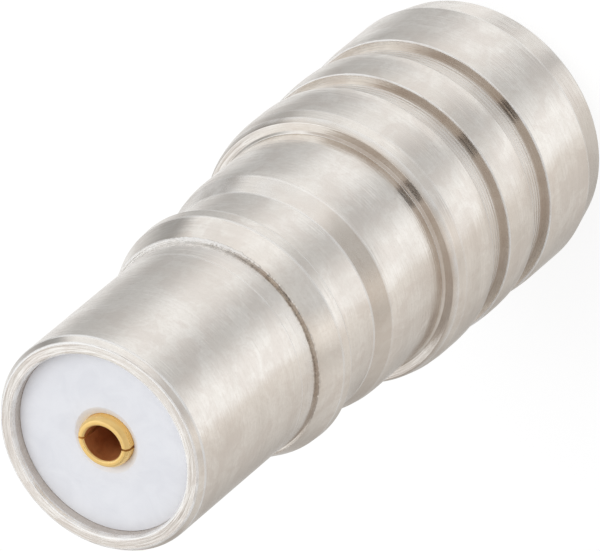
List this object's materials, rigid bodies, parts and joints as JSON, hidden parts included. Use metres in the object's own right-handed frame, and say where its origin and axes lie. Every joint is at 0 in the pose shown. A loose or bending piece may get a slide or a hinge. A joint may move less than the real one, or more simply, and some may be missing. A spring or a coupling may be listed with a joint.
{
  "type": "rf dummy load",
  "caption": "Small push-on coaxial dummy load: turned plated plug with snap collar, white insulator and slotted gold centre socket, ribbed closed rear cap.",
  "frame": {"origin": "centre of the flat rear face, on which the part stands", "axes": "+Z along the axis of revolution, from the rear face to the plug's rim; +X along the slit of the centre socket"},
  "size_m": [0.0064, 0.0064, 0.016],
  "materials": {
    "plated_brass": "turned brass with a satin warm white plating",
    "ptfe": "matt white, slightly translucent",
    "gold_plate": "bright gold plating",
    "film_ceramic": "thin dark resistive film on alumina",
    "tinned_brass": "dull tin plating"
  },
  "bodies": {
    "root": {"front_body": "plated_brass", "rear_cap": "plated_brass", "insulator": "ptfe", "centre_contact": "gold_plate", "resistor_rod": "film_ceramic", "front_ferrule": "tinned_brass", "rear_ferrule": "tinned_brass"}
  },
  "joints": []
}
